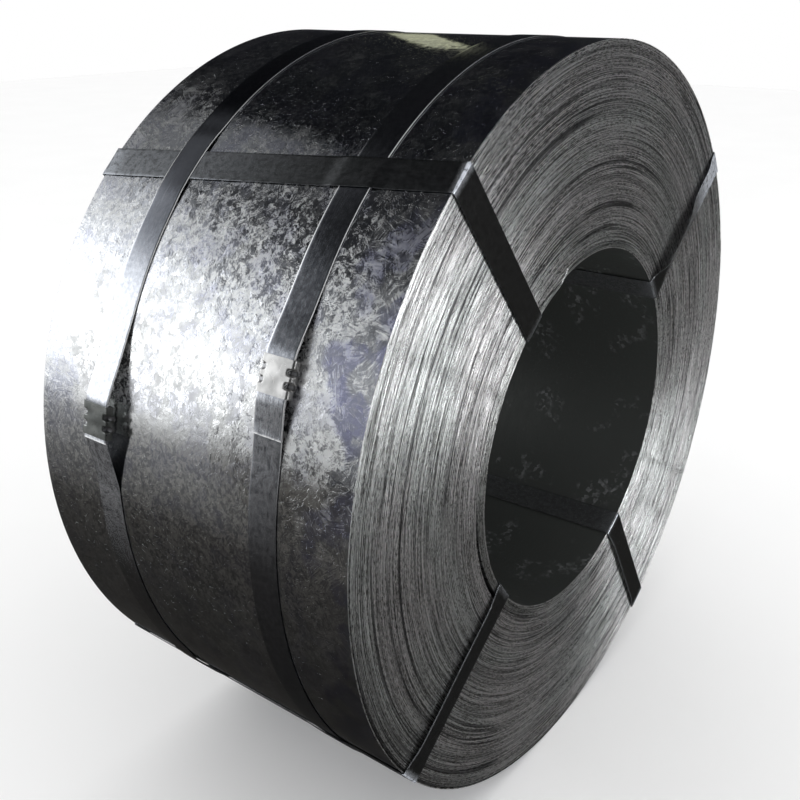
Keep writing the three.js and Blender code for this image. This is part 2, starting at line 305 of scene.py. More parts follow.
def newMaterial(name, build):
    material = bpy.data.materials.new(name)
    material.use_nodes = True
    build(Shader(material.node_tree))
    return material


# Camera, lights and floor

# the camera's place is measured from the middle of the coil's axis
view = {"place": (-0.8924, -0.6143, 0.449), "pitch": -23.16, "yaw": 53.17, "lens": 42.9, "near": 0.05}


def addCamera():
    camera = addObject("camera", bpy.data.cameras.new("camera"))
    camera.location = np.array(view["place"]) + onAxis(0.0)
    camera.rotation_euler = (math.radians(90 + view["pitch"]), 0, math.radians(-view["yaw"]))
    camera.data.lens = view["lens"]
    camera.data.sensor_width = 36.0
    camera.data.clip_start = view["near"]
    bpy.context.scene.camera = camera
    bpy.context.scene.view_settings.view_transform = "Standard"


# azimuth and elevation in degrees from the coil's middle, azimuth from +X towards +Y
softboxes = {
    "overhead": {
        "azimuth": -100, "elevation": 72, "distance": 3.4,
        "size": (2.4, 2.4), "power": 8, "colour": (1.0, 1.0, 1.0),
    },
    "skylight": {
        "azimuth": 37, "elevation": 21, "distance": 3.5,
        "size": (0.2, 1.0), "power": 0.26, "colour": (0.98, 1.0, 0.68),
    },
}
# what the metal mirrors: brightness by the sine of the elevation for room, window and wall, and round glows;
# each is full within its first half width and gone at the second; a span is where a smooth change lies
mirrored = {
    "room": (
        (-1, 0.01), (-0.82, 0.014), (-0.588, 0.028), (-0.342, 0.05),
        (-0.2, 0.06), (-0.05, 0.055), (0.1, 0.01), (1, 0.005),
    ),
    "window": {
        "azimuth": 117, "halfWidths": (17.5, 21.5),
        "levels": (
            (-0.5, 0), (-0.34, 0.09), (-0.2, 0.2), (-0.13, 0.38), (-0.07, 1.1), (-0.02, 1.5),
            (0.04, 2.1), (0.4, 2.4), (0.46, 1.3), (0.56, 0.88), (0.63, 0.12), (0.9, 0),
        ),
    },
    "wall": {
        "azimuth": 141, "halfWidths": (6, 15),
        "levels": ((-0.1, 0), (0.02, 0.16), (0.12, 0.42), (0.38, 0.44), (0.5, 0.18), (0.75, 0.02)),
    },
    "glows": (
        {"azimuth": -74, "elevation": 0, "halfWidths": (6, 20), "level": 8.2},
        {"azimuth": 91, "elevation": 41, "halfWidths": (3, 11), "level": 0.2},
    ),
    "slant": (-0.442, -0.669, 0.598), "slantSpan": (-0.035, 0.06, 1, 0.25),
    "windowColour": (0.97, 0.99, 1), "backdrop": (1, 1, 1), "ambient": (1.16, 1.16, 1.16),
    "groundColour": (1, 0.95, 0.86), "ceilingColour": (0.86, 0.93, 1.1), "groundSpan": (0.1, -0.25),
    "frontSpan": (-0.1, 0.1, 0.35, 1), "fill": 0.01, "fillSpan": (0.1, -0.5),
}
floorLook = {"reach": 9.0, "dark": (0.87, 0.87, 0.87), "light": (0.91, 0.91, 0.91), "roughness": 0.85}


def aimed(azimuth, elevation):
    turn, rise = math.radians(azimuth), math.radians(elevation)
    return math.cos(rise) * math.cos(turn), math.cos(rise) * math.sin(turn), math.sin(rise)


def addSoftbox(name, box):
    light = bpy.data.lights.new(name, "AREA")
    light.shape = "RECTANGLE"
    light.size, light.size_y = box["size"]
    light.energy = box["power"]
    light.color = box["colour"]
    holder = addObject(name, light)
    holder.location = np.array(aimed(box["azimuth"], box["elevation"])) * box["distance"] + onAxis(0.0)
    turn = math.radians(box["azimuth"]) + math.pi / 2
    holder.rotation_euler = (math.radians(90 - box["elevation"]), 0, turn)
    holder.visible_camera = False


def studioFloor(shader):
    # a pale floor: noise between two near whites
    cloud = shader.noise(shader.place(), 3.0, 3.0)
    shader.finish(shader.mix(cloud, floorLook["dark"], floorLook["light"]), 0.0, floorLook["roughness"])


def addFloor():
    reach = floorLook["reach"]
    corners = [(x * reach, y * reach, 0) for x, y in ((-1, -1), (1, -1), (1, 1), (-1, 1))]
    mesh = bpy.data.meshes.new("floor")
    mesh.from_pydata(corners, [], [(0, 1, 2, 3)])
    floor = addObject("floor", mesh)
    floor.data.materials.append(newMaterial("studio_floor", studioFloor))
    floor.visible_glossy = False
    floor.visible_shadow = False


def addSurroundings():
    # white behind the object; what the metal mirrors is a dim room with one tall soft window
    world = bpy.data.worlds.new("studio")
    world.use_nodes = True
    bpy.context.scene.world = world
    shader = Shader(world.node_tree)
    heading = shader.node("TexCoord", None, None, "Generated")
    east, north, up = shader.split(heading)
    flat = shader.vector("MULTIPLY", heading, (1, 1, 0))
    levelEast, levelNorth, _ = shader.split(shader.vector("NORMALIZE", flat))

    def towards(x, y, z):
        return east * x + north * y + up * z

    def softened(facing, halfWidths):
        inner, outer = (math.cos(math.radians(angle)) for angle in halfWidths)
        return facing.ramp(outer, inner)

    def column(side):
        x, y, _ = aimed(side["azimuth"], 0)
        level = shader.profile(up, side["levels"])
        return level * softened(levelEast * x + levelNorth * y, side["halfWidths"])

    def tinted(colour, grey):
        return shader.mix(1.0, colour, shader.xyz(grey, grey, grey), "MULTIPLY")

    slant = towards(*mirrored["slant"]).ramp(*mirrored["slantSpan"])
    window = (column(mirrored["window"]) * slant).largest(column(mirrored["wall"]))
    for glow in mirrored["glows"]:
        facing = towards(*aimed(glow["azimuth"], glow["elevation"]))
        window = window + softened(facing, glow["halfWidths"]) * glow["level"]
    room = shader.profile(up, mirrored["room"]) * north.ramp(*mirrored["frontSpan"])
    room = room + north.ramp(*mirrored["fillSpan"]) * mirrored["fill"]
    ground = up.ramp(*mirrored["groundSpan"])
    ground = shader.mix(ground, mirrored["ceilingColour"], mirrored["groundColour"])
    glossy = shader.mix(1.0, tinted(ground, room), tinted(mirrored["windowColour"], window), "ADD")
    seen = shader.node("LightPath", None, None, "Is Camera Ray")
    colour = shader.mix(seen.out("Is Glossy Ray"), mirrored["ambient"], glossy)
    colour = shader.mix(seen, colour, mirrored["backdrop"])
    surface = shader.node("Background", None, {"Color": colour, "Strength": 1.0})
    shader.node("OutputWorld", None, {"Surface": surface})


addCamera()
for softboxName, softbox in softboxes.items():
    addSoftbox(softboxName, softbox)
addFloor()
addSurroundings()
print("camera, lights and floor ready")


# Coil shape

def tailRise(angle):
    # the outermost wrap's free end stands one strip thickness up, falling off over the tail's span
    before = -angleFrom(coil["tailAngle"], angle)
    rise = coil["stripThickness"] * (1.0 - before / coil["tailSpan"])
    return np.where((before < -1e-6) | (before > coil["tailSpan"]), 0.0, rise)


def pastHead(angle):
    # degrees round from the strip's inner end, from 0 to 360
    return (angle - coil["headAngle"]) % 360.0


def headRise(angle):
    # the innermost wraps start with a short bend into the bore and settle back over the head's span
    past = pastHead(angle)
    settled = smoothStep(coil["headHold"], coil["headSpan"], past)
    return coil["headStep"] * smoothStep(0.0, coil["headBend"], past) * (1.0 - settled)


# the groove behind the innermost wraps: distance from the bore and depth, each a first value and amounts
# that come in over spans of degrees past the head, and a width with two bells, mouth and crescent
groove = {
    "offset": (0.003, (0.012, 0, 30), (-0.0035, 75, 108), (-0.004, 115, 330)),
    "depth": (0.0009, (0.0028, 0, 8), (0.007, 62, 96), (-0.0088, 107, 113), (-0.0016, 120, 150)),
    "width": 0.0012, "bells": ((0.0012, 14, 16), (0.0044, 99, 22)), "shuts": (107, 111),
}
# wraps step in and out by shares of the depth; the innermost lie at shares of the way back to the bore
wraps = {
    "depth": 0.001, "groups": 15, "broad": 0.14, "narrow": 0.015, "lone": 0.14, "loneShare": 0.05,
    "clip": (-1.6, 0.75), "burr": 0.00004, "limits": (-0.002, 0.0007),
    "innermost": (1, 0.96, 0.72, 0.46, 0.2, 0), "relief": (-0.0004, 0, 0.0001, 0, -0.0003, -0.0006),
}
# the slot behind the last wrap: places out from its inner side, and spans of degrees past its start
lastSlot = {
    "fromRim": 0.0024, "walls": (0.0002, 0.001), "wrap": 0.0012, "bevel": 0.0003, "start": 164,
    "opens": (2, 20), "shuts": (120, 140), "depth": 0.0001, "deeper": 0.0026,
}


def stepped(past, first, *changes):
    for amount, low, high in changes:
        first = first + amount * smoothStep(low, high, past)
    return first


def grooveWidth(past):
    mouth, crescent = (amount * bell(past, centre, half) for amount, centre, half in groove["bells"])
    return groove["width"] + mouth + crescent * (1 - smoothStep(*groove["shuts"], past))


def ringRelief(count, seed, depth):
    # a few broad groups, many narrow steps, and some wraps that stand well out or in
    source = np.random.default_rng(seed)
    groups = np.linspace(0, count, wraps["groups"])
    broad = np.interp(np.arange(count), groups, source.normal(size=len(groups))) * wraps["broad"]
    narrow = source.normal(size=count) * wraps["narrow"]
    chosen = source.random(count) < wraps["loneShare"]
    lone = np.where(chosen, source.normal(size=count) * wraps["lone"], 0.0)
    return np.clip((broad + narrow + lone) * depth, *(share * depth for share in wraps["clip"]))


def endSurface(angle, rings, seed):
    # radii and outward relief of one end, from the bore to the outer rim, one column for each ring
    flat = np.zeros_like(angle)
    past = pastHead(angle)
    bore, rim = coil["boreRadius"] - headRise(angle), coil["radius"] + tailRise(angle)
    offset, width = stepped(past, *groove["offset"]), grooveWidth(past)
    innerEdge, outerEdge = bore + offset - width / 2, bore + offset + width / 2
    wall = lastSlot["walls"][0]
    lastGap = coil["radius"] - lastSlot["fromRim"]
    inner = innerEdge + (bore - innerEdge) * np.array([wraps["innermost"]])
    main = outerEdge + (lastGap - outerEdge) * np.linspace(0.0, 1.0, rings)[None, :]
    gap = flat + lastGap + np.array([lastSlot["walls"]])
    last = [flat + lastGap + lastSlot["wrap"], rim - lastSlot["bevel"], rim]
    radius = np.concatenate([inner, innerEdge + wall, outerEdge - wall, main, gap, *last], 1)
    varying = 0.7 + 0.3 * waves([np.radians(angle) * 3, main * 90], seed + 1)
    relief = ringRelief(rings, seed, wraps["depth"])[None, :] * varying
    relief = relief + wraps["burr"] * waves([*ringPlace(angle, 5), main * 260], seed + 2)
    relief = relief * (1 - 0.85 * smoothStep(lastGap - 0.012, lastGap - 0.002, main))
    fromStart = angleFrom(lastSlot["start"], angle)
    low = smoothStep(*lastSlot["opens"], fromStart) * (1 - smoothStep(*lastSlot["shuts"], fromStart))
    patchy = smoothStep(-0.6, 0.9, waves(ringPlace(angle, 2), seed + 3))
    slot = lastSlot["depth"] + lastSlot["deeper"] * low * patchy
    last = 0.00005 + 0.00025 * low
    depth = stepped(past, *groove["depth"])
    relief = np.clip(relief, *wraps["limits"])
    inner = flat + np.array([wraps["relief"]])
    return radius, np.concatenate([inner, -depth, -depth, relief, -slot, -slot, last, last, flat], 1)


def coilMesh():
    # one closed skin: outside, rear end, bore and front end, carried round the axis
    tail, head = coil["tailAngle"], coil["headAngle"]
    before = np.linspace(tail, head, int(coil["sides"] * (head - tail) / 360))
    after = np.linspace(head + 0.4, tail + 359.97, coil["sides"] - len(before))
    angle = np.concatenate([before, after])[:, None]
    half, edge, boreEdge = coil["stripWidth"] / 2, 0.0003, 0.0012
    frontRadius, frontRelief = endSurface(angle, coil["frontRings"], 21)
    rearRadius, rearRelief = endSurface(angle, coil["rearRings"], 58)
    across = np.linspace(-1.0, 1.0, 27)[None, :]
    outsideY = across * (half - edge)
    ripple = 0.00007 * waves([*ringPlace(angle, 6), outsideY * 14], 5) - 0.00012
    outside = coil["radius"] + tailRise(angle) + ripple * (1 - np.abs(across) ** 8)
    boreY = np.linspace(1.0, -1.0, 14)[None, :] * (half - boreEdge)
    bore = coil["boreRadius"] - headRise(angle) + 0 * boreY
    radius = np.concatenate([outside, rearRadius[:, ::-1], bore, frontRadius], 1)
    y = [outsideY + 0 * angle, half + rearRelief[:, ::-1], boreY + 0 * angle, -half - frontRelief]
    points = polar(radius, angle, np.concatenate(y, 1))
    along = np.append(np.radians(angle[:, 0]), np.radians(angle[0, 0] + 360.0)) * coil["radius"]
    acrossMap = np.concatenate([outsideY[0], rearRadius[0, ::-1], boreY[0], frontRadius[0], outsideY[0, :1]])
    zones = np.repeat([0, 1, 2, 1], [part.shape[1] for part in (outsideY, rearRadius, boreY, frontRadius)])
    zones[-1] = 0
    uvs = mapped(along[:, None], acrossMap)
    return gridMesh("coil_wraps", points, uvs, True, zones=zones, sharpAngle=28.0)


coilPiece = coilMesh()
print("coil:", len(coilPiece.data.polygons) * 2, "triangles")


# Straps and seals

strap = {
    "width": 0.032, "thickness": 0.0008, "seat": 0.0003, "bend": 0.0016,
    "edge": 0.00025, "corner": 0.0002, "crown": 0.00008, "sink": 0.0001, "crossing": 0.0012, "gap": 0.0001,
}
bands = {
    "front_band": {
        "y": frontBandY, "seal": 156.6, "lift": 0.0055, "reachAbove": 12.0, "reachBelow": 10.3,
        "overStraps": False, "tail": 0.051,
    },
    "rear_band": {
        "y": 0.098, "seal": 168.75, "lift": 0.0117, "reachAbove": 16.0, "reachBelow": 9.6,
        "overStraps": True, "tail": 0.02,
    },
}
# wear past a band's seal: the tail's cut end, the satin tail, and the dull run that it lies on
bandWear = {"cut": (0.0016, 0.0006), "satin": 0.2, "dull": 0.15, "start": (0.01, 0.02), "fade": (0.05, 0.19)}
sealing = {
    "flatHalf": 0.0205, "root": 0.034, "length": 0.032, "sheet": 0.001, "slot": 0.005, "skirt": 0.0026,
    "flare": 0.0018, "notchDepth": 0.004, "notchHalf": 0.0038, "notchSpacing": 0.011, "spread": 0.0012,
    "sunk": 0.0014, "raised": 0.0008, "rearY": 0.203,
}
# on the front end a strap leans on one edge, in degrees near the rim and the bore; edgeOut and edgeFront are
# the side of a pale edge line outside and on the front end, a painted highlight; the last two amounts paint
# a sheen on its face, on the front end near the rim and outside towards the rear
plainStrap = {"leanRim": 0.0, "leanBore": 0.0, "edgeOut": 0, "edgeFront": 0, "bare": 0.0, "grazingSheen": 0.0}
eyeStraps = {
    "upper_left": dict(plainStrap, angle=131.9, skew=4.8, edgeOut=1, grazingSheen=0.21),
    "upper_right": dict(plainStrap, angle=37.5, skew=-1.5, leanRim=7.0, leanBore=22.0, bare=1.0),
    "lower_right": dict(plainStrap, angle=-58.5, skew=-2.5, leanRim=-5.0, leanBore=-6.0, edgeFront=-0.6),
    "lower_left": dict(plainStrap, angle=-142.0, skew=1.5, leanRim=-6.0, leanBore=-5.0, edgeFront=-1),
}
rearwards = np.array([0.0, 1.0, 0.0])


def strapOutline():
    # a flat strip with rounded slit edges
    half, thick, corner = strap["width"] / 2, strap["thickness"], strap["corner"]
    flat = np.linspace(-1, 1, 15) * (half - strap["edge"])
    crown = strap["crown"] * (1 - (flat / half) ** 2)
    top = np.stack([flat, thick - strap["sink"] + crown], -1)
    right = np.array([[half, thick - corner], [half, corner]])
    bottom = np.stack([flat[::-1], crown[::-1]], -1)
    return np.concatenate([top, right, bottom, right[::-1] * (-1, 1)])


stripOutline = strapOutline()


def notchShare(along):
    # 1 in the middle of each crimp, 0 away from them
    away = np.abs(np.abs(along) - sealing["notchSpacing"] / 2) / sealing["notchHalf"]
    return 1 - smoothStep(0.25, 1.0, away)


def eyeAngle(item, y):
    # an eye strap turns by its skew from the front end to the rear end
    return item["angle"] + item["skew"] * y / coil["stripWidth"]


def crossingLift(angle, y):
    # a band stands off the coil where eye straps pass under it
    lift = np.zeros_like(angle)
    for item in eyeStraps.values():
        away = np.abs(angleFrom(eyeAngle(item, y), angle))
        lift = np.maximum(lift, strap["crossing"] * (1 - smoothStep(3.5, 7.5, away)))
    return lift


def smoothed(path, passes):
    # repeated averaging with both neighbours, ends kept
    for _ in range(passes):
        path = np.concatenate([path[:1], (path[:-2] + 2 * path[1:-1] + path[2:]) / 4, path[-1:]])
    return path


def evened(path, step):
    # the same path with points at equal distances
    reach = reachAlong(path)
    places = np.linspace(0, reach[-1], int(reach[-1] / step) + 1)
    return np.stack([np.interp(places, reach, path[:, k]) for k in range(path.shape[1])], -1)


def bandPath(band):
    # from the hidden inner end through the seal, once round the coil, over itself and on to the free tail
    root, half, tail = sealing["root"], sealing["flatHalf"], band["tail"]
    seat = coil["radius"] + strap["seat"]
    flat = seat + band["lift"]
    touches = [math.radians(band[reach]) for reach in ("reachAbove", "reachBelow")]
    slopes = [(flat - seat * math.cos(touch)) / (seat * math.sin(touch) - half) for touch in touches]
    turns = np.linspace(band["reachBelow"], 360 - band["reachAbove"], 700)
    held = np.maximum.reduce([tailRise(band["seal"] + turns + shift) for shift in (-3.0, 0.0, 3.0)])
    if band["overStraps"]:
        held = held + crossingLift(band["seal"] + turns, band["y"])
    ring = np.stack(ringPlace(turns, seat + held)[::-1], -1)
    lap = strap["thickness"] + strap["gap"]

    def laid(*places):
        # (place, height over the inner run) on the flat at the seal and on the slopes beside it
        runs = [flat - slopes[int(place > 0)] * max(abs(place) - half, 0) for place, _ in places]
        return np.array([[place, run + extra] for run, (place, extra) in zip(runs, places)])

    start = laid((-root, 0.0), (-half, 0.0), (0.0, 0.0), (half, 0.0))
    rising = ((-root - 0.02, 0.0), (-root - 0.002, lap), (-half, lap), (0.0, lap))
    end = laid(*rising, (min(half, tail - 0.007), lap), (tail - 0.006, lap), (tail, lap + 0.0005))
    path = smoothed(evened(np.concatenate([start, ring, end]), 0.002), 4)
    turn = math.radians(band["seal"])
    across, out = path[:, 0], path[:, 1]
    x = axisX + out * math.cos(turn) - across * math.sin(turn)
    z = axisHeight + out * math.sin(turn) + across * math.cos(turn)
    along = reachAlong(path)
    inner, outer = along - root, along - along[-1] + tail
    nearest = np.where(np.abs(inner) < np.abs(outer), inner, outer)
    sway = 0.0004 * np.sin(along * 5.0)
    y = middleY + band["y"] + sway * smoothStep(0.03, 0.2, np.abs(nearest))
    return np.stack([x, y, z], -1), nearest


def bandMarks(tail, nearest):
    share = np.arange(len(nearest)) / len(nearest)
    inner, outer = share < 0.4, share > 0.6
    pastSeal = smoothStep(*bandWear["start"], nearest)
    cutEnd = smoothStep(*(tail - reach for reach in bandWear["cut"]), nearest) * outer
    satin = bandWear["satin"] * pastSeal * outer
    dull = bandWear["dull"] * pastSeal * (1 - smoothStep(*bandWear["fade"], nearest)) * inner
    return np.maximum.reduce([cutEnd, satin, dull])[:, None]


def rounded(corners, radius, steps=5):
    # the polyline with each inner corner swapped for a parabola that starts and ends one radius from it
    corners = np.asarray(corners)
    share = np.linspace(0.0, 1.0, steps)[:, None]
    pieces = [corners[:1]]
    for before, corner, after in zip(corners[:-2], corners[1:-1], corners[2:]):
        first = corner + unit(before - corner) * radius
        last = corner + unit(after - corner) * radius
        pieces.append(first * (1 - share) ** 2 + corner * 2 * share * (1 - share) + last * share ** 2)
    return np.concatenate(pieces + [corners[-1:]])


def sealOutline(layers, loose):
    # a sleeve open along the middle of its underside: outer line, then back along the inner one
    half = strap["width"] / 2 + strap["seat"]
    skirt, flare = (sealing["skirt"], sealing["flare"]) if loose else (0.0, 0.0)
    lines = []
    for grow, bend in ((sealing["sheet"], 0.0015), (0.0, 0.0008)):
        low, high = -strap["seat"] - skirt - grow, layers * strap["thickness"] + strap["seat"] + grow
        side = [[sealing["slot"] / 2, low], [half + flare + grow, low], [half + grow, high]]
        corners = side + [[-place, level] for place, level in side[::-1]]
        lines.append(evened(rounded(corners, bend), 0.0006))
    return np.concatenate([lines[0], lines[1][::-1]])


def sealMesh(name, centre, across, off, along, layers, loose):
    # the sleeve carried along the strap; each crimp presses its upper sides in and spreads its lower ones
    outline = sealOutline(layers, loose)
    place, level = outline[None, :, 0], outline[None, :, 1]
    reach = np.linspace(-0.5, 0.5, 133)[:, None] * sealing["length"]
    half = strap["width"] / 2
    notch = notchShare(reach) * smoothStep(0.66, 1.0, np.abs(place) / half)
    upper = smoothStep(-0.0014, 0.0004, level)
    pressed = upper * (sealing["notchDepth"] + 0.0004) - (1 - upper) * sealing["spread"]
    width = place * (1 - notch * pressed / half)
    height = level - notch * np.where(level > 0, sealing["sunk"], sealing["raised"] * loose)
    height = height - 0.00005 * bell(np.abs(reach), sealing["notchSpacing"] / 2, 0.004) * (level > 0)
    dents = 0.00005 if loose else 0.00006
    height = height + dents * waves([reach * 260, place * 210], 77) * (level > 0)
    points = centre + width[..., None] * across + height[..., None] * off + reach[..., None] * along
    uvs = mapped(reach, np.append(outline[:, 0], outline[0, 0]))
    # the crimps' share goes on as the mesh's mark, which the finish darkens as painted shade
    return gridMesh(name, points, uvs, caps=True, sharpAngle=38.0, marks=notch)


def frameAt(angle):
    turn = math.radians(angle)
    return np.array([math.cos(turn), 0, math.sin(turn)]), np.array([-math.sin(turn), 0, math.cos(turn)])


# an eye strap's loop: how far it lies off the coil and the bore, its end faces, its rise over the front
# band, and the spans over which its lean, its painted sheen and its painted edge highlight change
eyeLoop = {
    "out": 0.0005, "in": 0.0019, "front": -0.2015, "frontFace": -0.2014, "rear": 0.2032, "bandY": -0.104,
    "overBand": 0.001, "untwist": 0.034, "leanChange": (0.285, 0.345), "bareFace": (0.3, 0.385),
    "outside": (-0.06, 0.13), "sheenRear": (0.175, 0.202), "edgeEnd": (0.078, 0.092), "edge": (0.0152, 0.0158),
}


def eyePath(item):
    # a rounded rectangle in radius and axial place; eyeStrapMesh turns it slowly round the axis as it goes
    # from end to end
    bend, front, rear = strap["bend"], eyeLoop["front"], eyeLoop["rear"]
    out = coil["radius"] + eyeLoop["out"]
    inside = coil["boreRadius"] - eyeLoop["in"] - headRise(item["angle"]) * 0.6
    quarter = np.radians(np.linspace(0, 90, 9))
    places = np.linspace(front + bend, rear - bend, 160)
    overBand = eyeLoop["overBand"] * (1 - smoothStep(0.017, 0.032, np.abs(places - eyeLoop["bandY"])))
    corners = []
    for radius, radialSign, y, axialSign in (
        (out, 1, rear, 1), (inside, -1, rear, 1), (inside, -1, front, -1), (out, 1, front, -1),
    ):
        radii = radius - radialSign * bend * (1 - np.cos(quarter))
        arc = mapped(radii, y - axialSign * bend * (1 - np.sin(quarter)))
        corners.append(arc if radialSign * axialSign > 0 else arc[::-1])
    rearRun = np.linspace(out - bend, inside + bend, 60)[1:-1]
    boreRun = np.linspace(rear - bend, front + bend, 62)[1:-1]
    frontRun = np.linspace(inside + bend, out - bend, 90)[1:-1]
    lines = ((out + overBand, places), (rearRun, rear), (inside, boreRun), (frontRun, front))
    runs = [mapped(*line) for line in lines]
    path = np.concatenate([part for pair in zip(runs, corners) for part in pair])
    flags = [flag for run, arc in zip(runs, corners) for flag in (np.zeros(len(run)), np.ones(len(arc)))]
    return path, np.concatenate(flags)


def leanAt(item, radius):
    # lean on the front end, in radians; it comes up off the rim and off the bore's edge
    bore, rim, untwist = coil["boreRadius"], coil["radius"], eyeLoop["untwist"]
    share = smoothStep(*eyeLoop["leanChange"], radius)
    lean = item["leanBore"] * (1 - share) + item["leanRim"] * share
    fromBore = smoothStep(bore, bore + untwist, radius)
    fromRim = 1 - smoothStep(rim - untwist, rim, radius)
    return np.radians(lean * fromBore * fromRim)


def eyeStrapMesh(name, item):
    path, bends = eyePath(item)
    radius, y = path[:, 0], path[:, 1]
    angle = eyeAngle(item, y)
    turn = np.radians(angle)
    tangential = np.stack([-np.sin(turn), 0 * turn, np.cos(turn)], -1)
    onFront, onOutside = y < eyeLoop["frontFace"], radius > coil["radius"]
    lean = leanAt(item, radius) * onFront
    centre = polar(radius, angle, y - strap["width"] / 2 * np.abs(np.sin(lean)))
    across = tangential * np.cos(lean)[:, None] - rearwards * np.sin(lean)[:, None]
    # pale bends, weaker in the bore: partly wear, partly painted highlight
    wearAndSheen = np.convolve(np.tile(bends, 3), np.ones(5) / 5, "same")[len(bends):2 * len(bends)]
    wearAndSheen = wearAndSheen * np.where(radius < 0.25, 0.35, 1.0)
    outside = onOutside * smoothStep(*eyeLoop["outside"], y)
    outEdge = item["edgeOut"] * outside * (1 - smoothStep(*eyeLoop["edgeEnd"], y))
    side = np.where(onFront, item["edgeFront"], outEdge)[:, None]
    place = stripOutline[None, :, 0]
    # a pale line along one slit edge: painted highlight
    paleShare = (side * place > 0.3 * strap["width"] / 2) * smoothStep(*eyeLoop["edge"], np.abs(place))
    paleShare = paleShare * np.abs(side) * 0.4
    # a pale face near the rim on the front end: painted reflection
    bareFace = item["bare"] * smoothStep(*eyeLoop["bareFace"], radius) * onFront * (radius < coil["radius"])
    # outside, a pale sheen that grows towards the rear where the strap is seen at a grazing angle: painted
    # sheen
    grazingSheen = item["grazingSheen"] * (outside + 1.5 * onOutside * smoothStep(*eyeLoop["sheenRear"], y))
    wearAndSheen = np.maximum(np.maximum(wearAndSheen, bareFace + grazingSheen)[:, None], paleShare)
    return sweep(name, centre, across, wearAndSheen, closed=True)


strapPieces = {}
for name, band in bands.items():
    path, nearest = bandPath(band)
    across = np.broadcast_to(-rearwards, path.shape)
    inSeal = np.abs(nearest) < sealing["length"] / 2
    widths = 1 - notchShare(nearest) * inSeal * (sealing["notchDepth"] + 0.0006) / (strap["width"] / 2)
    marks = bandMarks(band["tail"], nearest)
    strapPieces[name] = sweep(name + "_strap", path, across, marks, widths=widths[:, None, None])
    radial, tangential = frameAt(band["seal"])
    centre = onAxis(band["y"]) + radial * (coil["radius"] + strap["seat"] + band["lift"])
    seal = sealMesh(name + "_crimped_seal", centre, -rearwards, radial, -tangential, 2, True)
    strapPieces[name + "_seal"] = seal
for name, item in eyeStraps.items():
    strapPieces["eye_strap_" + name] = eyeStrapMesh("eye_strap_" + name + "_strip", item)
    radial, tangential = frameAt(eyeAngle(item, sealing["rearY"]))
    centre = onAxis(sealing["rearY"]) + radial * (coil["radius"] + coil["boreRadius"]) / 2
    seal = sealMesh("eye_strap_crimped_seal_" + name, centre, tangential, rearwards, -radial, 1, False)
    strapPieces["eye_strap_seal_" + name] = seal
print("straps and seals:", len(strapPieces), "pieces")


# Finishes

zinc = {
    "bright": (0.97, 0.975, 0.98), "dull": (0.5, 0.515, 0.555), "violet": (0.42, 0.43, 0.6),
    "cloud": (0.6, 0.6, 0.58), "mirror": 0.07, "matte": 0.54, "crystal": 5.8, "frost": 15.0,
}
# millimetres round the coil from +X, with the levels before and after: fresh has clear spangle, middle and
# frost shift the tone, the white band is a painted reflection where the outside mirrors the window, calm has
# low contrast, edge is rough frost
spans = {
    "freshStart": (870, 935, 0.18, 1), "freshEnd": (1160, 1215, 1, 0.13),
    "freshUnder": (1560, 1800), "freshTail": (200, 430, 0.6, 0), "middle": (930, 1120, 0.8, 0.64),
    "frostStart": (1000, 1060, 0.23, 0.07), "frostEnd": (1140, 1215, 0, 0.18),
    "windowGlare": ((1085, 1150), (1190, 1225)), "calm": ((1270, 1390), (1900, 2100)),
    "edgeStart": (860, 940, 0.1, 0.6), "edgeEnd": (1205, 1290, 1, 0.15),
}


def crystals(shader, place, size):
    # flat cells; gives each place's offset from its cell's middle and the cell's own random numbers
    settings = {"voronoi_dimensions": "2D", "feature": "F1"}
    cell = shader.node("TexVoronoi", settings, {"Vector": place, "Scale": 1 / size}, "Color")
    return shader.split(shader.vector("SUBTRACT", place, cell.out("Position"))), shader.split(cell)


def fibres(shader, place, turn, seed, length, breadth):
    # streaks inside a cell, running the way the cell is turned: noise of (length x ahead, breadth x aside)
    quarter = 1.5708
    x, y, _ = shader.split(place)
    ahead = x * turn.sin() + y * (turn + quarter).sin()
    aside = x * (turn + quarter).sin() - y * turn.sin()
    return shader.noise(shader.xyz(ahead * length, aside * breadth, seed * 37), 1, 1.5, 0.5)


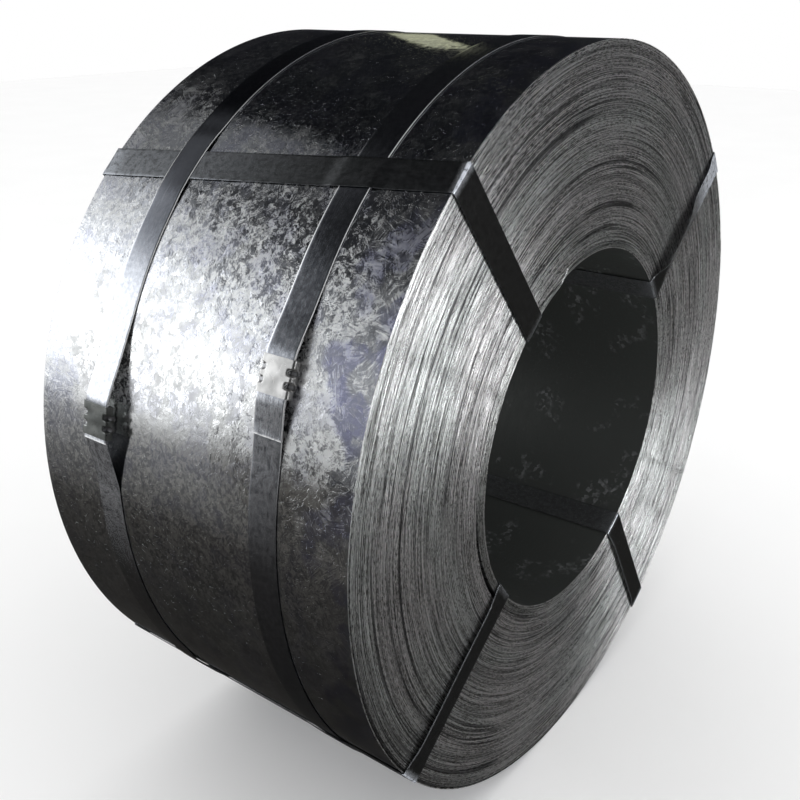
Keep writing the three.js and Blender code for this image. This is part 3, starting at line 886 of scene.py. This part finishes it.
def galvanisedSkin(shader):
    # zinc spangle: crystals are mirror-bright to matte by a sum of random levels for leaf, chip, veins,
    # groups and grain, most clearly where fresh; near the slit edges are larger crystals of frost, with
    # needles and furrows that run their own way; clouds and violet tint the whole
    place = shader.vector("SCALE", shader.strip(), 1000)
    along, across, _ = shader.split(place)

    def shaken(scale, reach):
        jitter = shader.vector("SUBTRACT", shader.noise(place, scale, 2, output="Color"), (0.5, 0.5, 0.5))
        return shader.vector("SCALE", jitter, reach)

    warped = shader.vector("ADD", shader.vector("ADD", place, shaken(0.16, 10)), shaken(0.6, 3.5))
    (leafX, leafY, _), (leaf, leafLean, leafSide) = crystals(shader, warped, zinc["crystal"])
    _, (chip, _, _) = crystals(shader, warped, zinc["crystal"] * 0.5)
    bent = shader.vector("ADD", place, shaken(0.012, 16))
    frostPlace = shader.vector("ADD", bent, shaken(0.12, 10))
    _, (frost, frostTurn, frostShade) = crystals(shader, frostPlace, zinc["frost"])
    frostTurn = (frostTurn - 0.5) * 2.8
    needles = fibres(shader, bent, frostTurn, frost, 0.05, 0.6).ramp(0.55, 0.68)
    furrows = fibres(shader, bent, frostTurn, frostShade, 0.055, 0.7).ramp(0.34, 0.44, 1, 0)
    veins = fibres(shader, place, leafSide * 3, leaf, 0.2, 1).ramp(0.34, 0.66)
    patches = shader.noise(place, 0.016, 2)
    edge = (across.size() + (patches - 0.5) * 150).ramp(150, 168)
    skewed = along + across * 0.35
    fresh = skewed.ramp(*spans["freshStart"]) * along.ramp(*spans["freshEnd"])
    fresh = fresh + along.ramp(*spans["freshUnder"]) * 0.6 + along.ramp(*spans["freshTail"])
    groups = shader.noise(place, 0.035, 2)
    grain = shader.noise(warped, 0.4, 4, 0.75)
    middle = leaf * 0.34 + chip * 0.28 + veins * 0.22 + groups * 0.6 + grain * 0.86
    middle = (middle - along.ramp(*spans["middle"])).ramp(0.2, 0.86)
    feather = (frostShade * 0.45 + shader.noise(bent, 0.045, 2) * 0.9 - 0.35).ramp(0.12, 0.8)
    frosted = feather * 0.34 + (leaf + chip) * 0.13 + (grain - 0.5) * 0.45 + needles * 0.18 - furrows * 0.2
    frosted = frosted + along.ramp(*spans["frostStart"]) + along.ramp(*spans["frostEnd"])
    matte = middle * (1 - edge) + frosted.ramp(0.05, 0.95) * edge
    clouds = shader.noise(place, 0.011, 3, 0.6)
    tone = matte * 0.4 + chip * 0.36 + veins * 0.24 - furrows * edge * 0.35 + needles * edge * 0.15
    # a white band where the outside mirrors the window: painted reflection
    windowGlare = along.between(*spans["windowGlare"]) * (1 - edge)
    calm = 1 - along.between(*spans["calm"]) * 0.65
    level = ((tone - 0.45) * calm + windowGlare * 0.55 + 0.45).ramp(0.1, 0.85)
    colour = shader.mix(level, zinc["dull"], zinc["bright"])
    colour = shader.mix(clouds.ramp(0.45, 0.75, 0, 0.25), colour, zinc["cloud"])
    violet = (shader.noise(place, 0.026, 2) + edge * 0.04).ramp(0.48, 0.58) * (edge * 0.6 + 0.4)
    violet = violet * across.ramp(40, 130, 1, 0.3) * (1 - matte * 0.6) * (leaf * 0.6 + 0.5)
    colour = shader.mix(violet, colour, zinc["violet"])
    tilt = leafX * (leafLean - 0.5) + leafY * (leafSide - 0.5)
    height = tilt * 0.04 * (1 - edge) * fresh.largest(0.5) + (needles * 0.02 + tilt * 0.02) * edge
    edgeRough = edge * skewed.ramp(*spans["edgeStart"]) * along.ramp(*spans["edgeEnd"])
    rough = matte * fresh.largest(edgeRough) * (zinc["matte"] - zinc["mirror"])
    rough = rough + clouds.ramp(0.4, 0.75, 0, 0.05) + zinc["mirror"]
    shader.finish(colour, 1, rough, shader.bump(height))


# burrLean and stepLean say how far the edges lean in radius, by each wrap's burr and the steps between them;
# spans are millimetres from the axis, and round the coil from +X for loose and outerGapStart
ends = {
    "light": (0.9, 0.894, 0.895), "dark": (0.34, 0.338, 0.34), "gap": (0.04, 0.04, 0.043),
    "warm": (1, 0.985, 0.988), "cool": (0.955, 0.982, 0.97), "inner": (0.3, 0.315, 0.3),
    "smooth": 0.13, "rough": 0.34, "burrLean": 2.4, "stepLean": 0.06,
    "deepSide": (0.839, 0, -0.545), "deepGain": 0.55, "innerWraps": (209, 211, 0.65, 0),
    "boreEdgeHighlight": (203.9, 205.6, 0.6, 0), "lastWrapHighlight": (407.5, 407.8, 0, 0.5),
    "innerGapShade": ((210.7, 211), (211.9, 212.2)), "outerGapShade": ((406.2, 406.5), (407.4, 407.6)),
    "loose": ((420, 560), (1690, 1810)), "outerGapStart": (1190, 1290),
}


def aboutAxis(shader):
    # outward direction and distance from the coil's axis, in millimetres, at right angles to the axis
    fromAxis = shader.vector("SUBTRACT", shader.place(), (axisX, 0, axisHeight))
    flat = shader.vector("MULTIPLY", fromAxis, (1, 0, 1))
    return shader.vector("NORMALIZE", flat), shader.vector("LENGTH", flat, output="Value") * 1000


def slitEdges(shader):
    # wraps seen edge-on: shade and lean are sums of noises, long round the axis and narrow in radius, broken
    # by dashes; cracks and seams are dark where a noise crosses a half
    outward, radius = aboutAxis(shader)

    def streaks(alongScale, radialScale, detail=1, roughness=0.5):
        turned = shader.vector("SCALE", outward, alongScale)
        place = shader.vector("ADD", turned, shader.xyz(0, radius * radialScale, 0))
        return shader.noise(place, 1, detail, roughness)

    def lines(field, inner, outer):
        return (field - 0.5).size().ramp(inner, outer, 1, 0)

    rings = streaks(1.1, 0.95, 3, 0.75)
    fine = streaks(5, 1.1, 2, 0.6)
    dashes = streaks(60, 0.9, 2, 0.7)
    hairlines = streaks(8, 8)
    slow = streaks(1.4, 0.02, 2)
    shade = ((rings - 0.5) * 2 + (fine - 0.5) * 1.4 + (dashes - 0.5) * 1.5 + 0.5).ramp(-0.22, 0.86)
    colour = shader.mix(shade, ends["dark"], ends["light"])
    tint = shader.mix(slow.ramp(0.4, 0.6), ends["warm"], ends["cool"])
    colour = shader.mix(1, colour, tint, "MULTIPLY")
    cracks = lines(streaks(0.3, 0.15), 0.01, 0.034) * streaks(2, 0.02).ramp(0.38, 0.5)
    colour = shader.mix(cracks * 0.9, colour, ends["gap"])
    seams = lines(streaks(0.5, 0.24), 0.02, 0.08) * fine.ramp(0.36, 0.56)
    colour = shader.mix(seams * 0.55, colour, ends["dark"])
    around, wrap, _ = shader.split(shader.vector("SCALE", shader.strip(), 1000))
    loose = around.between(*ends["loose"])
    colour = shader.mix(wrap.ramp(*ends["innerWraps"]) * loose, colour, ends["inner"])
    # a light line at the bore's edge where the inner wraps are loose: painted highlight
    colour = shader.mix(wrap.ramp(*ends["boreEdgeHighlight"]) * loose, colour, ends["light"])
    # the outermost wrap drawn lighter for its bright rim line: painted highlight
    colour = shader.mix(wrap.ramp(*ends["lastWrapHighlight"]), colour, ends["light"])
    # the groove behind the loose inner wraps and the slot behind the last wrap, near black: painted shade in
    # these hollows
    innerGapShade = wrap.between(*ends["innerGapShade"]) * loose
    outerGapShade = wrap.between(*ends["outerGapShade"]) * around.ramp(*ends["outerGapStart"])
    outerGapShade = outerGapShade * slow.ramp(0.4, 0.56, 0.3, 1)
    colour = shader.mix(innerGapShade.largest(outerGapShade) * 0.95, colour, ends["gap"])
    deeper = (shader.dot(outward, ends["deepSide"]) * 0.5 + 0.5) ** 3 * ends["deepGain"] + 1
    steps = (rings + fine * 0.8 + dashes * 0.6 - 1.2) * ends["stepLean"]
    lean = (hairlines - 0.5) * deeper * ends["burrLean"] + steps
    normal = shader.vector("ADD", shader.normal(), shader.vector("SCALE", outward, lean))
    normal = shader.vector("NORMALIZE", normal)
    rough = shade * (ends["rough"] - ends["smooth"]) + ends["smooth"]
    shader.finish(colour, 0.98, rough, shader.bump(dashes, 0.00003, normal))


def boreSkin(shader):
    # the innermost wrap: dull and near black as painted shade inside the bore, brighter by patches x flecks,
    # with a random shade for each cell
    place = shader.vector("SCALE", shader.place(), 1000)
    cell = shader.node("TexVoronoi", {"feature": "F1"}, {"Vector": place, "Scale": 0.2}, "Color")
    inside = shader.vector("SUBTRACT", place, cell.out("Position"))
    tilt = shader.dot(inside, shader.vector("SUBTRACT", cell, (0.5, 0.5, 0.5)))
    shade, _, _ = shader.split(cell)
    patches = shader.noise(place, 0.016, 3, 0.6).ramp(0.52, 0.66)
    flecks = (shade * shader.noise(place, 0.12, 3, 0.7)).ramp(0.25, 0.65)
    colour = shader.mix(patches * flecks * 0.6, (0.053, 0.057, 0.054), (0.34, 0.35, 0.36))
    rough = 0.42 - flecks * patches * 0.14
    shader.finish(colour, 0.6, rough, shader.bump(tilt * 0.05))


strapLook = {"topShadeTone": (0.17, 0.18, 0.21), "underShadeTone": (0.055, 0.056, 0.058), "marks": 0.12}
bandLook = dict(
    strapLook, dark=(0.27, 0.282, 0.315), light=(0.44, 0.455, 0.495), edge=(0.92, 0.93, 0.94),
    roughness=0.04, rim=1, paleShare=0.6, inside=0, topShade=0.2,
)
# a lighter, smoother copy of the band finish for the rear band: painted reflection, with a stronger painted
# shade high up
litBandLook = dict(
    bandLook, dark=(0.42, 0.435, 0.475), light=(0.62, 0.635, 0.675), roughness=0.02, marks=0.06, topShade=0.85,
)
eyeLook = dict(
    strapLook, dark=(0.17, 0.176, 0.182), light=(0.28, 0.29, 0.3), edge=(0.76, 0.8, 0.88),
    roughness=0.1, rim=0, paleShare=0.45, inside=0.07, topShade=0,
)


def strapSkin(look):
    # rolled strip: noise drawn out into marks and mottled wax, a darker tone high up as painted shade, pale
    # by the larger of rim lines, a painted highlight, and the mesh's mark of wear and painted sheen, and a
    # dull underside darkened as painted shade
    def build(shader):
        along, across, _ = shader.split(shader.strip())
        marks = shader.noise(shader.xyz(along * 14, across * 90), 1, 3, 0.6)
        mottle = shader.noise(shader.xyz(along * 160, across * 6), 1, 4, 0.7)
        colour = shader.mix(mottle.ramp(0.35, 0.68), look["dark"], look["light"])
        _, _, level = shader.split(shader.place())
        # darker high up: painted shade
        colour = shader.mix(level.ramp(0.585, 0.665) * look["topShade"], colour, look["topShadeTone"])
        # pale lines on the slit edges, none low down, full from mid height and weaker near the top: painted
        # highlight
        rearEdge = across.ramp(0.4, 0.6, 1, 0) * level.ramp(0.7, 0.76, 1, 0)
        frontEdge = across.ramp(0.4, 0.6, 0, 0.8) * level.ramp(0.72, 0.8, 1, 0.5)
        rim = (across - 0.5).size().ramp(0.466, 0.484) * (rearEdge + frontEdge)
        rim = rim * level.ramp(0.42, 0.6) * look["rim"]
        # pale by the larger of the painted edge highlight and the mesh's mark of wear and painted sheen
        bare = rim.largest(shader.wearShadeSheen() * mottle.ramp(0.36, 0.5, 0.4, 1))
        colour = shader.mix(bare, colour, look["edge"])
        outward, distance = aboutAxis(shader)
        inside = distance.ramp(203.5, 206, 1, 0) * look["inside"]
        # the underside facing the coil, darker: painted shade, and rougher
        facing = shader.dot(shader.normal(), outward)
        under = facing.ramp(-0.7, -0.3, 1, 0) * distance.ramp(395, 405)
        colour = shader.mix(under, colour, look["underShadeTone"])
        rough = marks * look["marks"] + mottle * 0.06 + under * 0.4 + look["roughness"]
        metal = 1 - (bare * look["paleShare"]).largest(inside)
        shader.finish(colour, metal, rough, shader.bump(marks * 0.05 + mottle * 0.05))
    return build


def sealSkin(dull, bright):
    # plated sheet: noise for scuffs and stains, and the crimps darkened by the mesh's mark as painted shade
    # in their hollows
    def build(shader):
        scuffs = shader.noise(shader.place(), 300, 4, 0.65)
        stains = shader.noise(shader.place(), 70, 2)
        colour = shader.mix(stains.ramp(0.35, 0.7), dull, bright)
        colour = shader.mix(shader.wearShadeSheen().ramp(0.5, 0.95), colour, (0.3, 0.3, 0.31))
        shader.finish(colour, 1, scuffs * 0.2 + 0.2, shader.bump(scuffs * 0.03 + stains * 0.1))
    return build


skins = {"galvanised_skin": galvanisedSkin, "slit_edges": slitEdges, "bore_skin": boreSkin}
finishPiece(coilPiece, [newMaterial(name, build) for name, build in skins.items()], "coil_zinc", "coil")
bandFinish = newMaterial("band_strip", strapSkin(bandLook))
litBandFinish = newMaterial("lit_band_strip", strapSkin(litBandLook))
eyeFinish = newMaterial("eye_strap_strip", strapSkin(eyeLook))
sealFinish = newMaterial("seal_sheet", sealSkin((0.535, 0.53, 0.525), (0.775, 0.765, 0.755)))
# a darker copy of the seal sheet for the rear band's seal: painted shade
shadedSealFinish = newMaterial("shaded_seal_sheet", sealSkin((0.2, 0.21, 0.203), (0.32, 0.33, 0.32)))
# the first key that is in a piece's name gives its finish
finishes = {
    "rear_band_seal": ("seal_steel", shadedSealFinish),
    "seal": ("seal_steel", sealFinish),
    "rear_band": ("band_steel", litBandFinish),
    "band": ("band_steel", bandFinish),
    "": ("eye_strap_steel", eyeFinish),
}
for node, piece in strapPieces.items():
    slot, finish = next(entry for key, entry in finishes.items() if key in node)
    finishPiece(piece, [finish], slot, node)
print("finishes ready")
